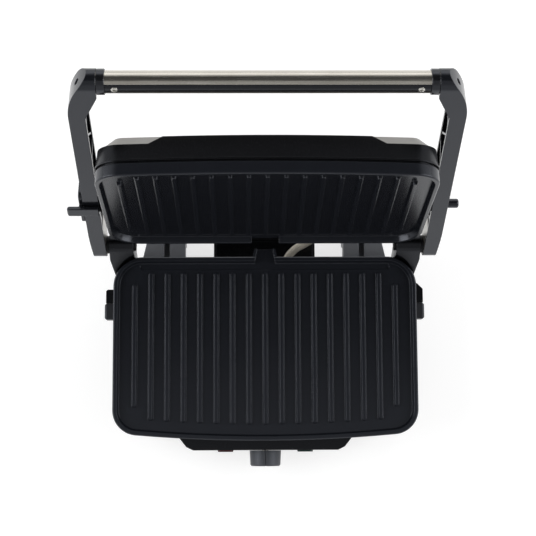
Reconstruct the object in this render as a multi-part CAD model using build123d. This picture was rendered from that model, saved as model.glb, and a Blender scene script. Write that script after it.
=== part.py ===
"""Panini press with ribbed plates, standing open.

Millimetres, +Z up, the front faces -Y. The origin is on the table, under the middle of the
open press. The lid and its arms are drawn closed and then turned open about the hinge axis.
"""

from build123d import *
from math import atan, cos, degrees, radians, sin, tan
import os

# The press as a whole
PLATE_WIDTH = 290.0
PLATE_DEPTH = 175.0
RIM_HEIGHT = 68.0
REAR_RIM_Y = 36.5
OPEN_ANGLE = 101.0
HINGE_BACK = 10.5
HINGE_RISE = 10.0
ARM_SLOPE = 15.6
HANDLE_REACH = 54.3
FLOAT_TRAVEL = 6.0
CLOSED_GAP = 0.6

# Fits
RUNNING = 0.05
LOOSE = 0.3
SEAM = 0.5

# Sides of small round pieces that no shaft turns in
FACETS = 24
FOOT_SIDES = 16
SCREW_SIDES = 12
HEXAGON = 6

# Plate outline, shared by both housings
FRONT_BOW = 7.5
REAR_CORNER = 28.0
FRONT_CORNER = 24.0

# Grill plates
SKIRT = 11.0
SKIRT_WALL = 5.5
LIP = 4.0
LIP_DRAFT = 1.5
LIP_ROUND = 1.0
FLOOR_DEPTH = 6.0
FLOOR_WALL = 3.5
SPIGOT = 5.0
SPIGOT_INSET = 3.5
RIB_PITCH = 15.6
RIB_WIDTH = 5.0
RIB_HEIGHT = 3.5
RIB_DRAFT = 14.0
RIB_SIDE_MARGIN = 17.0
RIB_REAR_GAP = 14.6
RIB_FRONT_GAP = 15.0
END_RIB_SHORTER = 11.0
GUTTER_WIDTH = 6.0
GUTTER_DEPTH = 1.5
GUTTER_SIDE_GAP = 25.0
SPOUT_ROOT = 12.9
SPOUT_TIP = 9.8
SPOUT_REACH = 8.0
SPOUT_WALL = 2.2
SPOUT_FLOOR = 2.0

# Base housing
FOOT_HEIGHT = 8.0
BASE_DRAFT = 7.0
BASE_WALL = 3.5
RIM_WALL = 3.2
REVEAL = 1.0
LEDGE_DROP = 11.0
LEDGE_WIDTH = 2.8
COVER_SHEET = 2.5
FOOT_RADIUS = 8.0
FOOT_LIP = 1.0
FOOT_DRAFT = 7.0
FOOT_INSET = 34.0

# Control bulge on the front
BULGE_ROOT = 82.0
BULGE_FRONT = 73.0
BULGE_REACH = 9.0
BULGE_WALL = 2.6
BULGE_MARGIN = 4.0
KNOB_OFFSET = 0.5
KNOB_RADIUS = 15.2
KNOB_DRAFT = 2.7
POINTER_GROOVE = 1.2
KNOB_LENGTH = 15.4
KNOB_CHAMFER = 1.2
SHAFT_RADIUS = 3.0
SHAFT_FLAT = 1.0
BUSH_RADIUS = 4.5
LAMP_OFFSET = 38.5
LAMP_WIDTH = 15.0
LAMP_HEIGHT = 7.0
LAMP_PROUD = 1.8
HOLDER_MARGIN = 1.5
HOLDER_DEPTH = 9.0
THERMOSTAT_HALF = 18.0
THERMOSTAT_DEPTH = 14.0
THERMOSTAT_RISE = 12.0
THERMOSTAT_CHAMFER = 3.0

# Release buttons on the sides
BUTTON_REACH = 11.0
GUARD_REACH = 9.5
BUTTON_BACK = 42.0
BUTTON_LENGTH = 15.6
BUTTON_HEIGHT = 12.0
BUTTON_DROP = 33.0
BUTTON_TRAVEL = 3.0
GUARD_LENGTH_LEFT = 13.5
GUARD_LENGTH_RIGHT = 19.0
GUARD_CORNER_LEFT = 1.5
GUARD_CORNER_RIGHT = 5.5
FLANGE = 1.5
SPRING_SPACE = 2.0
LEAF = 0.6

# Rear of the base
LEG_INNER = 78.0
LEG_OUTER = 114.0
LEG_SLOT = 5.3
LEG_REACH = 28.0
LEG_TOP_DROP = 34.0
LEG_FLARE = 8.0
LEG_SLOT_DEPTH = 13.0
LEG_TOE = 9.0
LEG_NOSE = 4.0
TRAY_HALF = 50.0
TRAY_DEPTH_INSIDE = 45.0
TRAY_REACH = 26.0
TRAY_TOP_DROP = 42.0
TRAY_WALL = 2.0
GLAND_X = -65.0
GLAND_RADIUS = 7.0
TERMINAL_HALF = 16.0
TERMINAL_DEPTH = 16.0
TERMINAL_HEIGHT = 14.0
TERMINAL_GROOVE = 2.0

# Hinge
EAR_WIDTH = 23.0
EAR_OVERHANG = 2.5
EAR_GRIP = 20.0
BARREL_RADIUS = 10.5
PIN_RADIUS = 4.0
WASHER_RADIUS = 8.5

# Arms
ARM_GAP = 2.7
ARM_WIDTH = 14.1
ARM_WALL = 2.6
ARM_END_RADIUS = 11.0
ARM_MID = 58.0
ARM_MID_RADIUS = 13.0
ARM_MID_RISE = 1.5
WEB = 1.8
WEB_STEPS = 5
SHOULDER_LENGTH = 33.0
SHOULDER_RADIUS = 61.0
NECK_LENGTH = 8.5
TIP_INSET = 4.7
POCKET_END = 26.0
HINGE_SHEET = 1.2
HINGE_SHEET_MARGIN = 1.6
HINGE_SHEET_LENGTH = 34.0

# Handle
HANDLE_RADIUS = 9.3
HANDLE_SHEET = 0.8
STRIP_HALF_ANGLE = 34.0
COLLAR_WALL = 1.4
COLLAR_LENGTH = 6.7
HANDLE_END_WALL = 1.6
SOCKET_INSET = 11.5
SOCKET_DEPTH = 7.0
STRIP_SCREW_INSET = 8.2
SCREW_HEAD = 2.8

# Lid
LID_FRONT_WALL = 28.0
LID_REAR_WALL = 44.0
HUMP_HALF = 87.0
HUMP_FOOT = 100.0
HUMP_RISE = 7.0
LID_DRAFT = 3.0
LID_REVEAL = 1.8
BEAD = 0.8
COVER_INSET = 3.2
COVER_SLOPE_WIDTH = 12.0
COVER_RISE = 10.5
STEEL = 0.8
GUIDE_LENGTH = 12.0
GUIDE_WIDTH = 9.0
GUIDE_WALL = 2.2
STUB_RADIUS = 4.3
STUB_REACH = 12.9

# Hinge lock slider on the left arm
SLIDER_MID = 69.0
SLIDER_LENGTH = 41.0
SLIDER_HEIGHT = 20.0
SLIDER_SHEET = 3.5
SLIDER_TRAVEL = 10.0
BAR_MID = 72.6
BAR_WIDTH = 10.0
BAR_SHEET = 4.0
TAB_REACH = 14.6
KEY_MID = 56.0
KEY_LENGTH = 12.0
KEY_WIDTH = 5.0

# Heating and wiring
TUBE_RADIUS = 3.25
ELEMENT_INSET = 38.0
ELEMENT_BEND = 22.0
PAN_DEPTH = 3.0
SLEEVE_RADIUS = 3.8
SLEEVE_BORE = 11.5
SLEEVE_X = 65.0
SLEEVE_DROP = 33.0
SLEEVE_BEND = 0.45

# Places that follow from the sizes above
HALF = PLATE_WIDTH / 2
FRONT_RIM_Y = REAR_RIM_Y - PLATE_DEPTH
BASE_TOP = RIM_HEIGHT - SKIRT
LEDGE = BASE_TOP - LEDGE_DROP
HINGE_Y = REAR_RIM_Y + HINGE_BACK
HINGE_Z = RIM_HEIGHT + HINGE_RISE
EAR_OUTER = HALF + EAR_OVERHANG
EAR_INNER = EAR_OUTER - EAR_WIDTH
ARM_INNER = EAR_OUTER + ARM_GAP
ARM_OUTER = ARM_INNER + ARM_WIDTH
ARM_LENGTH = PLATE_DEPTH + HANDLE_REACH
SOCKET_INNER = ARM_INNER - SOCKET_INSET
COLLAR_RADIUS = HANDLE_RADIUS + COLLAR_WALL
HANDLE_END_RADIUS = HANDLE_RADIUS + HANDLE_END_WALL
LID_RIM = RIM_HEIGHT + CLOSED_GAP
LID_BASE = LID_RIM + SKIRT
LID_LEDGE = LID_BASE + LEDGE_DROP
LID_SLOPE = degrees(atan((LID_REAR_WALL - LID_FRONT_WALL) / PLATE_DEPTH))
BULGE_FACE_Y = FRONT_RIM_Y - BULGE_REACH
KNOB_Z = (FOOT_HEIGHT + BASE_TOP) / 2 + KNOB_OFFSET
PLATE_UNDERSIDE = RIM_HEIGHT - FLOOR_DEPTH - FLOOR_WALL
BUTTON_Y = REAR_RIM_Y - BUTTON_BACK - BUTTON_LENGTH / 2
BUTTON_Z = RIM_HEIGHT - BUTTON_DROP

HINGE = Pos(0, HINGE_Y, HINGE_Z)
ARM_PLANE = Plane(
    origin=(0, HINGE_Y, HINGE_Z),
    x_dir=(0, -cos(radians(ARM_SLOPE)), sin(radians(ARM_SLOPE))),
    z_dir=(-1, 0, 0),
)
ARM_PLAN = Plane(
    origin=(0, HINGE_Y, HINGE_Z),
    x_dir=(0, -cos(radians(ARM_SLOPE)), sin(radians(ARM_SLOPE))),
    z_dir=(0, -sin(radians(ARM_SLOPE)), -cos(radians(ARM_SLOPE))),
)
# The middle of the guide slots, with the lid closed
GUIDE_Y = HINGE_Y - ARM_MID * cos(radians(ARM_SLOPE)) + ARM_MID_RISE * sin(radians(ARM_SLOPE))
GUIDE_Z = HINGE_Z + ARM_MID * sin(radians(ARM_SLOPE)) + ARM_MID_RISE * cos(radians(ARM_SLOPE))


def block(x0, x1, y0, y1, z0, z1):
    """A box between two corners."""
    return Pos((x0 + x1) / 2, (y0 + y1) / 2, (z0 + z1) / 2) * Box(x1 - x0, y1 - y0, z1 - z0)


def rod_x(radius, x0, x1, y, z):
    """A cylinder along X."""
    low = (Align.CENTER, Align.CENTER, Align.MIN)
    return Pos(x0, y, z) * Rot(0, 90, 0) * Cylinder(radius, x1 - x0, align=low)


def rod_y(radius, y0, y1, x, z):
    """A cylinder along Y."""
    low = (Align.CENTER, Align.CENTER, Align.MIN)
    return Pos(x, y0, z) * Rot(-90, 0, 0) * Cylinder(radius, y1 - y0, align=low)


def peg_y(radius, y0, y1, x, z):
    """A many-sided peg along Y, its corners on the radius."""
    return extrude(Pos(x, y0, z) * Rot(-90, 0, 0) * RegularPolygon(radius, FACETS), y1 - y0, dir=(0, 1, 0))


def hole_y(radius, y0, y1, x, z):
    """A many-sided hole along Y, its flats on the radius."""
    section = RegularPolygon(radius, FACETS, major_radius=False)
    return extrude(Pos(x, y0, z) * Rot(-90, 0, 0) * section, y1 - y0, dir=(0, 1, 0))


def mirrored(part):
    """The same piece on the other side of the press."""
    return mirror(part, Plane.YZ)


def outline(inset=0.0):
    """The plate's plan: straight rear and sides, a bowed front and four round corners."""
    half = HALF - inset
    rear = REAR_RIM_Y - inset
    middle = FRONT_RIM_Y + inset
    side = middle + FRONT_BOW
    edge = Polyline((half, side), (half, rear), (-half, rear), (-half, side))
    edge += ThreePointArc((-half, side), (0, middle), (half, side))
    face = make_face(edge)
    face = fillet(face.vertices().group_by(Axis.Y)[-1], REAR_CORNER - inset)
    return fillet(face.vertices().group_by(Axis.Y)[0], FRONT_CORNER - inset)


def prism(inset, low, high):
    """The outline, inset, as an upright block."""
    return extrude(Pos(0, 0, low) * outline(inset), high - low, dir=(0, 0, 1))


def tapered(low_inset, low, high_inset, high):
    """A block whose outline changes evenly from the bottom to the top."""
    lean = degrees(atan(abs(high_inset - low_inset) / (high - low)))
    if high_inset > low_inset:
        return extrude(Pos(0, 0, low) * outline(low_inset), high - low, dir=(0, 0, 1), taper=lean)
    return extrude(Pos(0, 0, high) * outline(high_inset), high - low, dir=(0, 0, -1), taper=lean)


def hollow_plan(inset):
    """An eight-sided plan that keeps inside the outline, for hollows that nothing shows."""
    half = HALF - inset
    rear = REAR_RIM_Y - inset
    front = FRONT_RIM_Y + FRONT_BOW + inset
    cut = REAR_CORNER
    corners = [(half - cut, front), (half, front + cut), (half, rear - cut), (half - cut, rear)]
    return make_face(Polyline(*corners, *[(-x, y) for x, y in reversed(corners)], close=True))


def hollow(inset, low, high):
    """The eight-sided plan as an upright block."""
    return extrude(Pos(0, 0, low) * hollow_plan(inset), high - low, dir=(0, 0, 1))


def opened(part, lift=0.0):
    """A piece drawn in the closed lid, lifted off the lower plate and turned open."""
    return HINGE * Rot(-OPEN_ANGLE, 0, 0) * HINGE.inverse() * Pos(0, 0, lift) * part


def front_rim(x):
    """Where the bowed front rim runs at a given X."""
    return FRONT_RIM_Y + FRONT_BOW * (x / HALF) ** 2


def rib_plan(length):
    """A rib seen from above, its ends cut to three flats."""
    end = length / 2
    half = RIB_WIDTH / 2
    flat = half * tan(radians(22.5))
    quarter = [(half, end - half + flat), (flat, end)]
    left = [(-x, y) for x, y in reversed(quarter)]
    front = [(-x, -y) for x, y in quarter + left]
    return make_face(Polyline(*quarter, *left, *front, close=True))


def grill_ribs():
    """Drafted ribs from the gutter to the front rim, the outermost two shorter."""
    floor = RIM_HEIGHT - FLOOR_DEPTH
    side_count = int((HALF - RIB_SIDE_MARGIN) // RIB_PITCH)
    ribs = []
    for number in range(-side_count, side_count + 1):
        x = number * RIB_PITCH
        shorter = END_RIB_SHORTER if abs(number) == side_count else 0
        rear = REAR_RIM_Y - RIB_REAR_GAP - shorter
        front = front_rim(x) + RIB_FRONT_GAP + shorter
        plan = Pos(x, (rear + front) / 2, floor) * rib_plan(rear - front)
        ribs.append(extrude(plan, RIB_HEIGHT, dir=(0, 0, 1), taper=RIB_DRAFT))
    return ribs


def grill_plate():
    """A cast plate with rim, ribs, grease gutter and a spigot that locates it in its housing."""
    floor = RIM_HEIGHT - FLOOR_DEPTH
    plate = prism(0, BASE_TOP, RIM_HEIGHT)
    plate = chamfer(plate.faces().sort_by(Axis.Z)[-1].edges(), LIP_ROUND)
    plate -= tapered(LIP + LIP_DRAFT, floor, LIP, RIM_HEIGHT)
    plate -= hollow(SKIRT_WALL, BASE_TOP, PLATE_UNDERSIDE)
    spigot = hollow(SPIGOT_INSET, BASE_TOP - SPIGOT, BASE_TOP)
    plate += spigot - hollow(SKIRT_WALL, BASE_TOP - SPIGOT, BASE_TOP)
    gutter_y = REAR_RIM_Y - LIP - LIP_DRAFT - SEAM - GUTTER_WIDTH / 2
    gutter = Pos(0, gutter_y, floor - GUTTER_DEPTH) * SlotOverall(2 * (HALF - GUTTER_SIDE_GAP), GUTTER_WIDTH)
    plate -= extrude(gutter, GUTTER_DEPTH, dir=(0, 0, 1))
    return plate + grill_ribs()


def spout_plan(inset, front):
    """The spout's trapezoid, from a line inside the rim to the tip behind the press."""
    tip = REAR_RIM_Y + SPOUT_REACH
    root = SPOUT_ROOT - inset
    end = SPOUT_TIP - inset
    return make_face(Polyline((-root, front), (root, front), (end, tip), (-end, tip), close=True))


def lower_grill_plate():
    """The lower plate, with a spout that lets the gutter run out behind the press."""
    channel_floor = RIM_HEIGHT - FLOOR_DEPTH - GUTTER_DEPTH
    channel_front = REAR_RIM_Y - LIP - LIP_DRAFT - SEAM - GUTTER_WIDTH / 2
    outer = Pos(0, 0, channel_floor - SPOUT_FLOOR) * spout_plan(0, REAR_RIM_Y - LIP)
    inner = Pos(0, 0, channel_floor) * spout_plan(SPOUT_WALL, channel_front)
    plate = grill_plate() + extrude(outer, SPOUT_FLOOR + FLOOR_DEPTH, dir=(0, 0, 1))
    return plate - extrude(inner, SKIRT, dir=(0, 0, 1))


def upper_grill_plate():
    """The upper plate, the lower one's mirror image with a plain gap above the spout."""
    rear = REAR_RIM_Y + SEAM
    gap = block(-SPOUT_ROOT, SPOUT_ROOT, rear - SKIRT, rear, RIM_HEIGHT - FLOOR_DEPTH, RIM_HEIGHT + SEAM)
    plate = mirror(grill_plate() - gap, Plane.XY.offset(RIM_HEIGHT))
    return Pos(0, 0, CLOSED_GAP) * plate


def base_outside():
    """The tub's outer form, drawn in towards the table."""
    return tapered(BASE_DRAFT, FOOT_HEIGHT, 0, BASE_TOP)


def bulge(wall):
    """The control bulge on the tub's front, or with a wall its inside."""
    root_y = front_rim(BULGE_ROOT) + wall
    face_y = BULGE_FACE_Y + wall
    inside_y = FRONT_RIM_Y + BULGE_REACH + BASE_DRAFT + 2 * wall
    root = BULGE_ROOT - wall
    front = BULGE_FRONT - wall
    right = [(root, inside_y), (root, root_y), (front, face_y)]
    plan = make_face(Polyline(*right, *[(-x, y) for x, y in reversed(right)], close=True))
    low = FOOT_HEIGHT + BULGE_MARGIN + wall
    high = BASE_TOP - REVEAL - wall
    solid = extrude(Pos(0, 0, low) * plan, high - low, dir=(0, 0, 1))
    edges = solid.edges().filter_by(Axis.Z).group_by(Axis.Y)[0]
    return chamfer(edges, BULGE_MARGIN - wall / 2)


def wall_inset(z):
    """How far the tub's outside stands in from the rim at a given height."""
    return BASE_DRAFT * (BASE_TOP - z) / (BASE_TOP - FOOT_HEIGHT)


def button_guard(length, corner):
    """The fixed block behind a release button, on the right-hand side wall."""
    rear = REAR_RIM_Y - BUTTON_BACK + length
    low = BUTTON_Z - BUTTON_HEIGHT / 2 - FLANGE
    high = BUTTON_Z + BUTTON_HEIGHT / 2 + FLANGE
    front = rear - length + LOOSE
    guard = block(HALF - BASE_DRAFT, HALF + GUARD_REACH, front, rear, low, high)
    outer = guard.edges().filter_by(Axis.Z).group_by(Axis.X)[-1]
    return chamfer(outer.sort_by(Axis.Y)[-1], corner) - base_outside()


def button_window():
    """The hole in the right-hand side wall that a release button runs in."""
    reach = BUTTON_LENGTH / 2 + RUNNING
    high = BUTTON_HEIGHT / 2 + RUNNING
    x0 = HALF - 3 * BASE_DRAFT
    x1 = HALF + GUARD_REACH
    return block(x0, x1, BUTTON_Y - reach, BUTTON_Y + reach, BUTTON_Z - high, BUTTON_Z + high)


def lamp_window(side, clear):
    """The eight-sided outline of a lamp lens on the bulge's front."""
    plan = Rectangle(LAMP_WIDTH + 2 * clear, LAMP_HEIGHT + 2 * clear)
    return Plane.XZ * Pos(side * LAMP_OFFSET, KNOB_Z) * chamfer(plan.vertices(), LAMP_HEIGHT / 4)


def base_housing():
    """The moulded tub: walls, inner ledge, control bulge, button guards and rear openings."""
    tub = base_outside() + bulge(0)
    tub -= hollow(RIM_WALL, LEDGE, BASE_TOP)
    tub -= hollow(BASE_DRAFT + BASE_WALL, FOOT_HEIGHT, LEDGE)
    tub -= bulge(BULGE_WALL)
    tub -= prism(-SEAM, BASE_TOP - REVEAL, BASE_TOP) - prism(REVEAL, BASE_TOP - REVEAL, BASE_TOP)
    tub += button_guard(GUARD_LENGTH_RIGHT, GUARD_CORNER_RIGHT)
    tub += mirrored(button_guard(GUARD_LENGTH_LEFT, GUARD_CORNER_LEFT))
    tub -= button_window()
    tub -= mirrored(button_window())
    tub -= hole_y(BUSH_RADIUS + RUNNING, BULGE_FACE_Y - SEAM, BULGE_FACE_Y + BULGE_WALL + SEAM, 0, KNOB_Z)
    for side in (-1, 1):
        window = Pos(0, BULGE_FACE_Y - SEAM, 0) * lamp_window(side, RUNNING)
        tub -= extrude(window, BULGE_WALL + 2 * SEAM, dir=(0, 1, 0))
    bay = TRAY_HALF + LOOSE
    rear = REAR_RIM_Y + SEAM
    tub -= block(-bay, bay, rear - 3 * BASE_DRAFT, rear, FOOT_HEIGHT, RIM_HEIGHT - TRAY_TOP_DROP + LOOSE)
    tub -= hole_y(GLAND_RADIUS - FLANGE, rear - 3 * BASE_DRAFT, rear, GLAND_X, gland_z())
    return tub - hole_y(grommet_radius(), rear - 3 * BASE_DRAFT, rear, grommet_x(), sleeve_z())


def gland_z():
    """Height of the mains inlet above the table."""
    return FOOT_HEIGHT + 2 * GLAND_RADIUS


def bottom_cover():
    """The floor of the base, with cooling slots, tray rails and a seat for each button spring."""
    inset = BASE_DRAFT + BASE_WALL + LOOSE
    top = FOOT_HEIGHT + COVER_SHEET
    cover = hollow(inset, FOOT_HEIGHT, top)
    slot = Rectangle(8 * COVER_SHEET, 1.6 * COVER_SHEET)
    for x in (-1, 1):
        for row in range(5):
            y = FRONT_RIM_Y + FOOT_INSET + (row + 2) * 4 * COVER_SHEET
            cover -= extrude(Pos(x * HALF / 2, y, FOOT_HEIGHT) * slot, COVER_SHEET, dir=(0, 0, 1))
    rear = REAR_RIM_Y - inset
    rail = block(
        TRAY_HALF + LOOSE, TRAY_HALF + LOOSE + TRAY_WALL,
        rear - TRAY_DEPTH_INSIDE + inset, rear - REAR_CORNER / 4, top, tray_floor() + 3 * TRAY_WALL,
    )
    post_x = post_face()
    post = block(
        post_x - 2 * FLANGE, post_x,
        BUTTON_Y - BUTTON_HEIGHT / 2, BUTTON_Y + BUTTON_HEIGHT / 2, top, BUTTON_Z + FLANGE,
    )
    return cover + rail + mirrored(rail) + post + mirrored(post)


def foot_spots():
    """The four places where rubber feet and bottom screws go."""
    x = HALF - FOOT_INSET
    return [(side * x, y) for side in (-1, 1) for y in (FRONT_RIM_Y + FOOT_INSET, REAR_RIM_Y - FOOT_INSET)]


def rubber_feet():
    """Four feet, slightly tapered, under the bottom cover."""
    sole = RegularPolygon(FOOT_RADIUS + FOOT_LIP, FOOT_SIDES)
    foot = extrude(Pos(0, 0, FOOT_HEIGHT) * sole, FOOT_HEIGHT, dir=(0, 0, -1), taper=FOOT_DRAFT)
    return [Pos(x, y, 0) * foot for x, y in foot_spots()]


def bottom_screws():
    """Hexagon heads that hold the bottom cover, beside the feet."""
    step = 2 * FOOT_RADIUS + SCREW_HEAD
    spots = [(x, y + step if y < 0 else y - step) for x, y in foot_spots()]
    head = RegularPolygon(SCREW_HEAD, HEXAGON)
    low = FOOT_HEIGHT - SCREW_HEAD / 2
    return [extrude(Pos(x, y, low) * head, SCREW_HEAD / 2, dir=(0, 0, 1)) for x, y in spots]


def thermostat():
    """The switch body behind the bulge, with a bush through its wall."""
    inner = BULGE_FACE_Y + BULGE_WALL
    low = FOOT_HEIGHT + BULGE_MARGIN + BULGE_WALL
    back = inner + THERMOSTAT_DEPTH
    body = block(-THERMOSTAT_HALF, THERMOSTAT_HALF, inner, back, low, KNOB_Z + THERMOSTAT_RISE)
    body = chamfer(body.edges().filter_by(Axis.Y), THERMOSTAT_CHAMFER)
    body += peg_y(BUSH_RADIUS, BULGE_FACE_Y, inner, 0, KNOB_Z)
    return body - hole_y(SHAFT_RADIUS + RUNNING, BULGE_FACE_Y, back - BULGE_MARGIN, 0, KNOB_Z)


def shaft_tip():
    """Where the thermostat shaft ends inside the knob."""
    return BULGE_FACE_Y - 3 * KNOB_LENGTH / 4


def thermostat_shaft():
    """The shaft that the knob turns, with a flat on its outer end."""
    inner = BULGE_FACE_Y + BULGE_WALL
    shaft = rod_y(SHAFT_RADIUS, shaft_tip(), inner + 3 * SHAFT_RADIUS, 0, KNOB_Z)
    low = KNOB_Z - SHAFT_RADIUS
    return shaft - block(-SHAFT_RADIUS, SHAFT_RADIUS, shaft_tip(), BULGE_FACE_Y - SEAM, low, low + SHAFT_FLAT)


def thermostat_knob():
    """A tapered knob with a chamfered front edge, a pointer groove and a blind bore with a flat."""
    back = BULGE_FACE_Y - SEAM
    front = BULGE_FACE_Y - KNOB_LENGTH
    plan = Pos(0, back, KNOB_Z) * Rot(90, 0, 0) * RegularPolygon(KNOB_RADIUS, 2 * FACETS)
    knob = extrude(plan, back - front, dir=(0, -1, 0), taper=KNOB_DRAFT)
    knob = chamfer(knob.faces().sort_by(Axis.Y)[0].edges(), KNOB_CHAMFER)
    groove = POINTER_GROOVE / 2
    knob -= block(-groove, groove, front, front + groove, KNOB_Z + KNOB_RADIUS / 3, KNOB_Z + KNOB_RADIUS)
    rim = KNOB_Z + KNOB_RADIUS - POINTER_GROOVE
    knob -= block(-groove, groove, front, back - 2 * POINTER_GROOVE, rim, rim + 2 * POINTER_GROOVE)
    bore = hole_y(SHAFT_RADIUS + RUNNING, shaft_tip() - RUNNING, back, 0, KNOB_Z)
    flat = KNOB_Z - SHAFT_RADIUS + SHAFT_FLAT - RUNNING
    return knob - (bore - block(-KNOB_RADIUS, KNOB_RADIUS, front, back, flat - SHAFT_RADIUS, flat))


def lamp(side):
    """A lens that stands a little proud of the bulge."""
    face = Pos(0, BULGE_FACE_Y - LAMP_PROUD, 0) * lamp_window(side, 0)
    return extrude(face, LAMP_PROUD + BULGE_WALL, dir=(0, 1, 0))


def lamp_holders():
    """The two holders that clip the lenses from behind."""
    inner = BULGE_FACE_Y + BULGE_WALL
    holders = []
    for side in (-1, 1):
        x = side * LAMP_OFFSET
        half = LAMP_WIDTH / 2 + HOLDER_MARGIN
        high = LAMP_HEIGHT / 2 + HOLDER_MARGIN
        holders.append(block(x - half, x + half, inner, inner + HOLDER_DEPTH, KNOB_Z - high, KNOB_Z + high))
    return holders


def button_inner():
    """Where the right-hand button's flange meets the tub's inside."""
    return HALF - BASE_DRAFT - BASE_WALL - LOOSE


def post_face():
    """The face of the right-hand spring post, clear of the pressed button."""
    return button_inner() - FLANGE - BUTTON_TRAVEL - SPRING_SPACE


def release_button():
    """The right-hand release button with its retaining flange."""
    reach = BUTTON_LENGTH / 2
    high = BUTTON_HEIGHT / 2
    x0 = button_inner()
    x1 = HALF + BUTTON_REACH
    body = block(x0, x1, BUTTON_Y - reach, BUTTON_Y + reach, BUTTON_Z - high, BUTTON_Z + high)
    face = body.faces().sort_by(Axis.X)[-1]
    body = chamfer(face.edges(), FLANGE)
    return body + block(
        x0 - FLANGE, x0, BUTTON_Y - reach - FLANGE, BUTTON_Y + reach + FLANGE,
        BUTTON_Z - high - FLANGE, BUTTON_Z + high + FLANGE,
    )


def button_spring():
    """A folded leaf spring between the right-hand button and its post."""
    inner = button_inner() - FLANGE - LOOSE / 2
    seat = post_face() + LOOSE / 2
    half = BUTTON_LENGTH / 2 - FLANGE
    top = half / 3
    back = [(seat, -half), (inner - LEAF, -top), (inner - LEAF, top), (seat, half)]
    front = [(seat + LEAF, half), (inner, top), (inner, -top), (seat + LEAF, -half)]
    leaf = make_face(Polyline(*back, *front, close=True))
    low = BUTTON_Z - BUTTON_HEIGHT / 3
    return extrude(Pos(0, BUTTON_Y, low) * leaf, 2 * BUTTON_HEIGHT / 3, dir=(0, 0, 1))


def hinge_bracket():
    """The right-hand ear: a barrel on a foot that is fixed to the tub's rear corner."""
    low = RIM_HEIGHT - LEG_TOP_DROP
    front = REAR_RIM_Y - EAR_GRIP
    foot = Polyline(
        (front, BASE_TOP - REVEAL), (front, low), (REAR_RIM_Y + EAR_OVERHANG, low),
        (HINGE_Y + EAR_OVERHANG, BASE_TOP - REVEAL), close=True,
    )
    barrel = Pos(HINGE_Y, HINGE_Z) * RegularPolygon(BARREL_RADIUS, 2 * FACETS)
    profile = Plane.YZ * make_hull(barrel.edges() + foot.edges())
    ear = extrude(Pos(EAR_INNER, 0, 0) * profile, EAR_WIDTH, dir=(1, 0, 0))
    ear -= base_outside()
    ear -= prism(-REVEAL, BASE_TOP - REVEAL, HINGE_Z + BARREL_RADIUS)
    corner = (HALF - EAR_OVERHANG, front - SEAM)
    outside = EAR_OUTER + SEAM
    slant = make_face(
        Polyline(corner, (outside, front - SEAM), (outside, REAR_RIM_Y - EAR_OVERHANG), close=True)
    )
    ear -= extrude(slant, HINGE_Z, dir=(0, 0, 1))
    return ear - rod_x(PIN_RADIUS + RUNNING, EAR_INNER - SEAM, EAR_OUTER + SEAM, HINGE_Y, HINGE_Z)


def hinge_pin():
    """The right-hand steel pin, headed on the inside of the ear."""
    pin = rod_x(PIN_RADIUS, EAR_INNER, ARM_OUTER - ARM_WALL, HINGE_Y, HINGE_Z)
    head = Pos(EAR_INNER, HINGE_Y, HINGE_Z) * Rot(0, 90, 0) * RegularPolygon(1.5 * PIN_RADIUS, FACETS)
    return pin + extrude(head, PIN_RADIUS / 2, dir=(-1, 0, 0))


def hinge_washers():
    """A steel washer between each ear and its arm."""
    ring = RegularPolygon(WASHER_RADIUS, FACETS) - RegularPolygon(PIN_RADIUS + LOOSE, FACETS)
    spot = Pos(EAR_OUTER + LOOSE, HINGE_Y, HINGE_Z) * Rot(0, 90, 0)
    washer = extrude(spot * ring, ARM_GAP - 2 * LOOSE, dir=(1, 0, 0))
    return [washer, mirrored(washer)]


def rear_leg():
    """The right-hand rear leg: it steadies the open press, and its slot takes the cord."""
    top = RIM_HEIGHT - LEG_TOP_DROP
    tip = REAR_RIM_Y + LEG_REACH
    root = REAR_RIM_Y - BASE_DRAFT - SEAM
    heel = tip - LEG_TOE
    side = Polyline(
        (root, top), (tip - LEG_NOSE, top - LEG_NOSE / 2), (tip, top - 3 * LEG_NOSE / 2), (tip, 0),
        (heel, 0), (heel - LEG_NOSE, top / 2), (root, top / 3), close=True,
    )
    wide = LEG_OUTER + LEG_FLARE - LEG_INNER
    leg = extrude(Pos(LEG_INNER, 0, 0) * (Plane.YZ * make_face(side)), wide, dir=(1, 0, 0))
    edge = LEG_OUTER + LEG_FLARE
    flare = make_face(Polyline((edge, root), (edge + SEAM, tip + SEAM), (LEG_OUTER, tip + SEAM), close=True))
    leg -= extrude(flare, top, dir=(0, 0, 1))
    middle = (LEG_INNER + LEG_OUTER) / 2
    leg -= block(
        middle - LEG_SLOT / 2, middle + LEG_SLOT / 2, REAR_RIM_Y + EAR_OVERHANG, tip - LEG_NOSE / 2,
        top - LEG_SLOT_DEPTH, top + SEAM,
    )
    return leg - base_outside()


def tray_floor():
    """Height of the drip tray's underside."""
    return FOOT_HEIGHT + COVER_SHEET + LOOSE


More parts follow.
